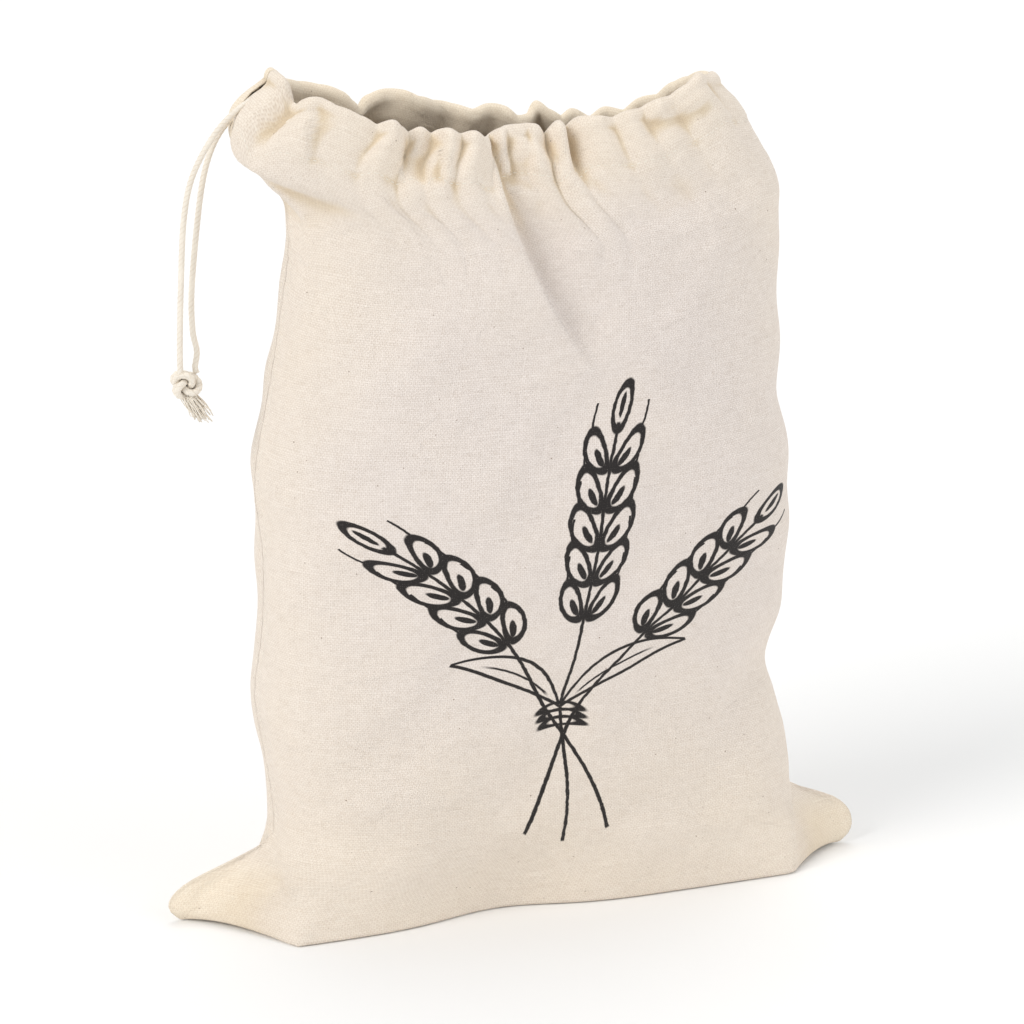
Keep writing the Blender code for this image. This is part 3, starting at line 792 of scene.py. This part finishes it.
def wheat_ink(uv):
    """Where the ink lies: three ears of wheat and their stalks, crossing at a tie."""
    u, v, _ = uv.split()
    wobble = uv.place(u, v).noise(0.35, 1.0)
    u = u - PRINT_MIDDLE[0] + (wobble - 0.5) * 1.0
    v = v - PRINT_MIDDLE[1]
    ink = None

    def blend(mask):
        """Add one shape to the ink."""
        nonlocal ink
        ink = mask if ink is None else ink.most(mask)

    def stroke(distance, half):
        """A soft-edged line of the given half width."""
        return 1 - distance.ramp(half - 0.22, half + 0.22)

    for lean, foot_x, length, bend, splay in (
        (-30, -5, 80, 0.0024, 0.0022), (2, 0, 96, -0.0010, 0.0), (33, 6, 80, -0.0026, -0.0022),
    ):
        c, s = math.cos(math.radians(lean)), math.sin(math.radians(lean))
        du, dv = u - foot_x, v + TIE_DROP
        along = du * s + dv * c
        straight = du * c - dv * s
        across = straight + along * along * bend
        tip = EAR_FOOT + length
        # The stalk, from the tie to the tip of its ear.
        stalk = stroke(abs(across), LINE_WIDTH * 0.9) * along.ramp(-1, 0)
        blend(stalk * (1 - along.ramp(tip - 9, tip - 8)))
        # Below the tie the stalks splay the other way.
        tail = stroke(abs(straight + dv * dv * splay), LINE_WIDTH)
        blend(tail * (1 - along.ramp(0, 1)) * along.ramp(-62, -61))
        row = (along - EAR_FOOT) / GRAIN_PITCH
        count = int(length / GRAIN_PITCH)
        for shift in (0, 1):
            cell = (row - shift).floor()
            inside = cell.ramp(-0.6, -0.4) * (1 - cell.ramp(count - 1.6, count - 1.4))
            a = along - EAR_FOOT - cell * GRAIN_PITCH
            size = 1 - abs(cell / (count - 1) - 0.40) * 0.30
            b = abs(across)
            # One grain: a long drop that leans out of the stalk.
            ga = (a - 11.5) * 0.88 + (b - 8.2) * 0.47
            gb = (b - 8.2) * 0.88 - (a - 11.5) * 0.47
            gb = gb + ga * ga * 0.012
            ring = ((ga / (10.6 * size)) ** 2 + (gb / (4.9 * size)) ** 2).root()
            gap = abs(ring - 1) * 4.6 * size
            blend(stroke(gap, LINE_WIDTH) * inside)
            slash = (((ga + 3.4) / 4.6) ** 2 + ((gb + 0.6) / 1.5) ** 2).root()
            blend((1 - slash.ramp(0.85, 1.1)) * inside)
            # Its awn runs on past the drop's point.
            awn = abs(gb + (ga - 10) * (ga - 10) * 0.008)
            blend(stroke(awn, 0.60) * ga.ramp(9.6, 10.2) * (1 - ga.ramp(22.0, 23.0)) * inside)
        # The top grain stands on the stalk's end.
        top = along - (tip - 2)
        ring = ((top / 9.5) ** 2 + (across / 4.0) ** 2).root()
        blend(stroke(abs(ring - 1) * 4.0, LINE_WIDTH))
        blend(1 - (((top - 0.5) / 5.5) ** 2 + (across / 1.2) ** 2).root().ramp(0.85, 1.1))
    # Two long leaves curl out from the tie.
    for hand in (-1, 1):
        la = (u * hand) * 0.82 + (v + 30) * 0.57
        lb = (v + 30) * 0.82 - (u * hand) * 0.57 + la * la * 0.0085 - la * 0.30
        span = la.ramp(0, 0.5) * (1 - la.ramp(59.5, 60))
        width = (la / 60.0 * math.pi).sine() * 6.0
        blend(stroke(abs(abs(lb) - width), LINE_WIDTH * 0.85) * span)
        blend(stroke(abs(lb + 1.0), 0.5) * la.ramp(8, 12) * (1 - la.ramp(40, 48)))
    # The tie: three turns of twine round the stalks.
    for turn in range(3):
        dv = v + TIE_DROP + (turn - 1) * 3.4
        band = ((u / 9.5) ** 2 + ((dv + u * u * 0.02 - 0.8) / 1.9) ** 2).root()
        blend(stroke(abs(band - 1) * 1.9, 0.62))
    return ink


def cloth_finish(name, printed):
    """Plain weave in thick and thin yarns, cream, with slubs, seed flecks and soft mottling, plus a painted
    warm glow and painted shade in the folds.
    """
    material, shader, uv = start_finish(name, 0.92, sheen=0.12)
    u, v, _ = uv.split()
    pitch = 0.86        # from one yarn to the next, in millimetres
    drift_u = uv.place(u * 0.22, v * 0.03).noise(1.0, 2.0)
    drift_v = uv.place(u * 0.03, v * 0.22).noise(1.0, 2.0)
    warp = (u + (drift_u - 0.5) * 2.2) / pitch
    weft = (v + (drift_v - 0.5) * 2.2) / pitch
    over = (warp.floor() * math.pi + weft * math.pi).sine()
    under = (weft.floor() * math.pi + warp * math.pi + math.pi / 2).sine()
    warp_yarn = (warp.fract() * math.pi).sine() * (over * 0.25 + 0.75)
    weft_yarn = (weft.fract() * math.pi).sine() * (under * 0.25 + 0.75)
    weave = warp_yarn.most(weft_yarn)
    # Every yarn has its own shade, which wanders along it.
    warp_tone = uv.place(warp.floor() * 7.31, v * 0.20).noise(1.0, 2.0)
    weft_tone = uv.place(u * 0.16, weft.floor() * 5.17).noise(1.0, 2.0)
    slub = warp_tone.ramp(0.66, 0.80).most(weft_tone.ramp(0.64, 0.78))
    thin = (1 - warp_tone.ramp(0.24, 0.38)).most(1 - weft_tone.ramp(0.24, 0.38))
    grain = uv.place(u, v).noise(1.6, 3.0)
    cloud = uv.place(u, v).noise(0.022, 3.0)
    tone = (weave * 0.42 + warp_tone * 0.24 + weft_tone * 0.28 + grain * 0.30).ramp(0.22, 1.00)
    colour = tone.tint((0.580, 0.504, 0.448, 1), (0.848, 0.779, 0.734, 1))
    colour = (slub * 0.16).tint(colour, (0.88, 0.84, 0.78, 1))
    colour = (thin * 0.08).tint(colour, (0.58, 0.48, 0.38, 1))
    # Painted light: single cloth with light behind it, or with light bounced between folds, looks warmer,
    # so its colour is painted yellower at the rim, the ears, the foot, towards the panel's edges and down
    # in the folds; a soft random mottle of the cloth's own tone adds to it.
    rim = v.ramp(325, 385) * (0.52 if printed else 0.95)
    ears = abs(u - 4).ramp(98, 128) * (1 - v.ramp(48, 84)) * 0.85
    # Painted shade beside the ears' creases, used below.
    ear_crease_shade = (1 - abs(abs(u - 4) - 122).ramp(2, 22)) * (1 - v.ramp(40, 76))   # beside the ears' creases
    foot = (1 - v.ramp(40, 190)) * 0.50
    edge = (((u - 14) / 150) ** 2 + ((v - 230) / 170) ** 2).ramp(0.15, 1.1) * 0.35
    hollow = uv.make("ShaderNodeAttribute", {"attribute_name": "hollow"}, None, out=2)
    painted_glow_and_mottle = rim.most(ears).most(foot).most(edge) + cloud.ramp(0.35, 0.75) * 0.10
    painted_glow_and_mottle = painted_glow_and_mottle + hollow * 0.6
    yellow = tone.tint((0.720, 0.590, 0.440, 1), (0.930, 0.835, 0.680, 1))
    colour = painted_glow_and_mottle.tint(colour, yellow)
    # Painted shade: the colour darkens to brown down in the folds near the rim and beside the ears'
    # creases.
    colour = (hollow * 0.46 + ear_crease_shade * 0.20).tint(colour, (0.50, 0.36, 0.20, 1))
    # Specks of seed husk caught in the yarn, a few dark and more of them faint.
    for scale, keep, size, depth in ((0.125, 0.30, 0.055, 0.95), (0.26, 0.25, 0.085, 0.45)):
        spots = uv.place(u + (grain - 0.5) * 0.8, v * 1.25)
        distance = spots.make("ShaderNodeTexVoronoi", None, {"Vector": spots, "Scale": scale})
        shade = spots.make("ShaderNodeTexVoronoi", None, {"Vector": spots, "Scale": scale}, out=1)
        pick, big, _ = shade.split()
        speck = (1 - distance.ramp(size * 0.55, size)) * pick.ramp(keep, keep + 0.02)
        colour = (speck * (big * 0.5 + 0.5) * depth).tint(colour, (0.16, 0.085, 0.045, 1))
    height = weave * 0.55 + slub * 0.45 + grain * 0.45 + (warp_tone + weft_tone) * 0.5
    if printed:
        worn = uv.place(u, v).noise(0.9, 2.0)
        ink = wheat_ink(uv) * (1 - (1 - weave.ramp(0.10, 0.30)) * worn.ramp(0.45, 0.75) * 0.55)
        colour = ink.tint(colour, (0.017, 0.014, 0.013, 1))
        connect(0.92 - ink * 0.22, shader, "Roughness")
    connect(colour, shader, "Base Color")
    # Faint creases left from packing and handling.
    crumple = uv.place(u * 0.030 + cloud * 1.5, v * 0.042 + cloud * 1.5).noise(1.0, 4.0)
    ridge = 1 - abs(crumple - 0.5).ramp(0.0, 0.10)
    pucker = uv.place(u * 0.055, v * 0.16 - u * 0.045).noise(1.0, 2.0)
    soft = bump(crumple * 2.4 + ridge * 0.28 + pucker * 0.8, 1.1 * MM, 0.6)
    fine = {"Height": height, "Distance": 0.26 * MM, "Strength": 0.8, "Normal": soft}
    connect(height.make("ShaderNodeBump", None, fine), shader, "Normal")
    return material


front_cloth = cloth_finish("printed_front_cloth", True)
front, front_face = sheet_piece("front_cloth_panel", True, front_cloth)
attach(front, "root")
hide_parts("front_panel")

# ------------------------------------------------
# The back panel. The same cloth and the same cut, without a print.
# ------------------------------------------------
back_cloth = cloth_finish("plain_back_cloth", False)
back, back_face = sheet_piece("back_cloth_panel", False, back_cloth)
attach(back, "root")
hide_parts("back_panel")

# ------------------------------------------------
# The stitching: rows of short cotton stitches along the casing of both panels and down
# both side seams. Each stitch sinks a little into the cloth.
# ------------------------------------------------
STITCH = 2.0 * MM
STITCH_PITCH = 2.9 * MM
THREAD_RADIUS = 0.24 * MM
SEAM_COLUMN = 4             # the grid's column along the side seams' stitching
SEAM_FROM = 16              # rows above the floor, where the side stitching starts to show


def stitch_tree():
    """Geometry nodes that lay stitches along every edge line they are given."""
    tree = bpy.data.node_groups.new("stitch_row", "GeometryNodeTree")
    for name, kind in (("Lines", "Geometry"), ("Stitch length", "Float"), ("Pitch", "Float"),
                       ("Thread radius", "Float"), ("Seed", "Int"), ("Thread", "Material")):
        tree.interface.new_socket(name, in_out="INPUT", socket_type="NodeSocket" + kind)
    tree.interface.new_socket("Stitches", in_out="OUTPUT", socket_type="NodeSocketGeometry")
    given = tree.nodes.new("NodeGroupInput").outputs
    line = Wire(tree, given["Lines"])
    curve = line.make("GeometryNodeMeshToCurve", None, {0: line})
    points = curve.make("GeometryNodeCurveToPoints", {"mode": "LENGTH"},
                        {"Curve": curve, "Length": Wire(tree, given["Pitch"])})
    turn = Wire(tree, points.socket.node.outputs["Rotation"])
    radius = Wire(tree, given["Thread radius"])
    bead = line.make("GeometryNodeMeshUVSphere", None, {"Segments": 6, "Rings": 5, "Radius": radius})
    vary = line.make("FunctionNodeRandomValue", {"data_type": "FLOAT"},
                     {2: 0.8, 3: 1.15, "Seed": Wire(tree, given["Seed"])}, out=1)
    long = Wire(tree, given["Stitch length"]) / (radius * 2) * vary
    laid = line.make("GeometryNodeInstanceOnPoints", None,
                     {"Points": points, "Instance": bead, "Rotation": turn,
                      "Scale": line.place(1.0, 1.0, long)})
    whole = laid.make("GeometryNodeRealizeInstances", None, {0: laid})
    dressed = whole.make("GeometryNodeSetMaterial", None,
                         {"Geometry": whole, "Material": Wire(tree, given["Thread"])})
    tree.links.new(dressed.socket, tree.nodes.new("NodeGroupOutput").inputs[0])
    return tree


def sew(name, lines, tree, thread, seed):
    """One mesh of stitches along the given lines of points."""
    data = bpy.data.meshes.new(name + "_lines")
    points, edges = [], []
    for line in lines:
        base = len(points)
        points += [tuple(p) for p in line]
        edges += [(base + k, base + k + 1) for k in range(len(line) - 1)]
    data.from_pydata(points, edges, [])
    holder = bpy.data.objects.new(name + "_lines", data)
    bpy.context.collection.objects.link(holder)
    rows = holder.modifiers.new("stitches", "NODES")
    rows.node_group = tree
    given = {"Stitch length": STITCH, "Pitch": STITCH_PITCH, "Thread radius": THREAD_RADIUS,
             "Seed": seed, "Thread": thread}
    for item in tree.interface.items_tree:
        if item.name in given:
            rows[item.identifier] = given[item.name]
    shape = holder.evaluated_get(bpy.context.evaluated_depsgraph_get())
    mesh = bpy.data.meshes.new_from_object(shape)
    bpy.data.objects.remove(holder)
    mesh.name = name
    stitches = bpy.data.objects.new(name, mesh)
    mesh.shade_smooth()
    bpy.context.collection.objects.link(stitches)
    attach(stitches, "root")
    return stitches


sewing_thread, thread_shader, _ = start_finish("sewing_thread", 0.7)
thread_tree = sewing_thread.node_tree
own_place = Wire(thread_tree, thread_tree.nodes.new("ShaderNodeTexCoord").outputs["Object"])
strand = own_place.noise(900.0, 2.0)
connect(strand.tint((0.74, 0.67, 0.56, 1), (0.93, 0.89, 0.82, 1)), thread_shader, "Base Color")
connect(bump(strand, 0.1 * MM, 0.6), thread_shader, "Normal")
stitching = stitch_tree()
casing_row = len(STRIP_ROWS) + int(np.argmin(np.abs(WALL_HEIGHTS - (RIM_HEIGHT - STITCH_DEPTH))))
seam_rows = slice(len(STRIP_ROWS) + SEAM_FROM, casing_row)
for name, face, seed in (("front_stitching", front_face, 5), ("back_stitching", back_face, 8)):
    lines = [face[casing_row, SEAM_COLUMN + 1:-1 - SEAM_COLUMN],
             face[seam_rows, SEAM_COLUMN], face[seam_rows, -1 - SEAM_COLUMN]]
    sew(name, [line * MM for line in lines], stitching, sewing_thread, seed)

# ------------------------------------------------
# The cord's run inside the casing. One length of the same cord, threaded round the mouth
# between the two layers of the hem, and out again where it went in.
# ------------------------------------------------
CORD_INWARDS = 2.05         # the cord's middle, in from the casing's outer cloth
SLIT_COLUMNS = 10           # grid columns that the slit and the cord's bend take up
CORD_IN = ((-104.9, -1.7, 350), (-101.5, -1.8, 350))
CORD_OUT = ((-101.5, 1.8, 348.2), (-104.9, 1.7, 348))

halves = []
for facing in (True, False):
    row, _ = wall_row(RIM_HEIGHT - CORD_DROP, facing, PLACES, inwards=CORD_INWARDS)
    halves.append(row[SLIT_COLUMNS:])
loop = np.vstack([halves[0], halves[1][-2::-1]])
run = np.vstack([CORD_IN, loop[::2], CORD_OUT])
points, faces, uvs = laid_cord(smooth_route(run, 1.0) * MM, CORD_RADIUS)
casing_cord = make_piece("drawcord_in_casing", points, faces, uvs, drawcord_cotton)
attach(casing_cord, "root")
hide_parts("drawcord")

# ------------------------------------------------
# The floor and the light: a pale paper sweep and soft studio lamps, the key from the left.
# ------------------------------------------------
floor_data = bpy.data.meshes.new("floor")
floor_data.from_pydata([(-9, -9, 0), (9, -9, 0), (9, 9, 0), (-9, 9, 0)], [], [(0, 1, 2, 3)])
floor = bpy.data.objects.new("floor", floor_data)
bpy.context.collection.objects.link(floor)
paper, paper_shader, _ = start_finish("pale_paper", 0.95)
paper_shader.inputs["Base Color"].default_value = (0.93, 0.93, 0.925, 1)
floor_data.materials.append(paper)

world = bpy.data.worlds.new("studio")
world.use_nodes = True
world.node_tree.nodes["Background"].inputs[0].default_value = (0.97, 0.985, 1.0, 1)
world.node_tree.nodes["Background"].inputs[1].default_value = 0.58
bpy.context.scene.world = world
bpy.context.scene.view_settings.view_transform = "Standard"

for name, place, softness, power, colour in (
    ("key", (-1.5, -0.62, 1.15), 30.0, 1.38, (1.0, 0.98, 0.955)),
    ("fill", (1.65, -1.25, 0.7), 60.0, 0.80, (1.0, 0.985, 0.98)),
    ("top", (0.3, 0.8, 2.4), 40.0, 0.80, (1.0, 0.99, 0.97)),
):
    lamp_data = bpy.data.lights.new(name, "SUN")
    lamp_data.angle = math.radians(softness)
    lamp_data.energy = power
    lamp_data.color = colour
    lamp = bpy.data.objects.new(name, lamp_data)
    lamp.location = place
    lamp.rotation_euler = (-Vector(place)).to_track_quat("-Z", "Y").to_euler()
    bpy.context.collection.objects.link(lamp)
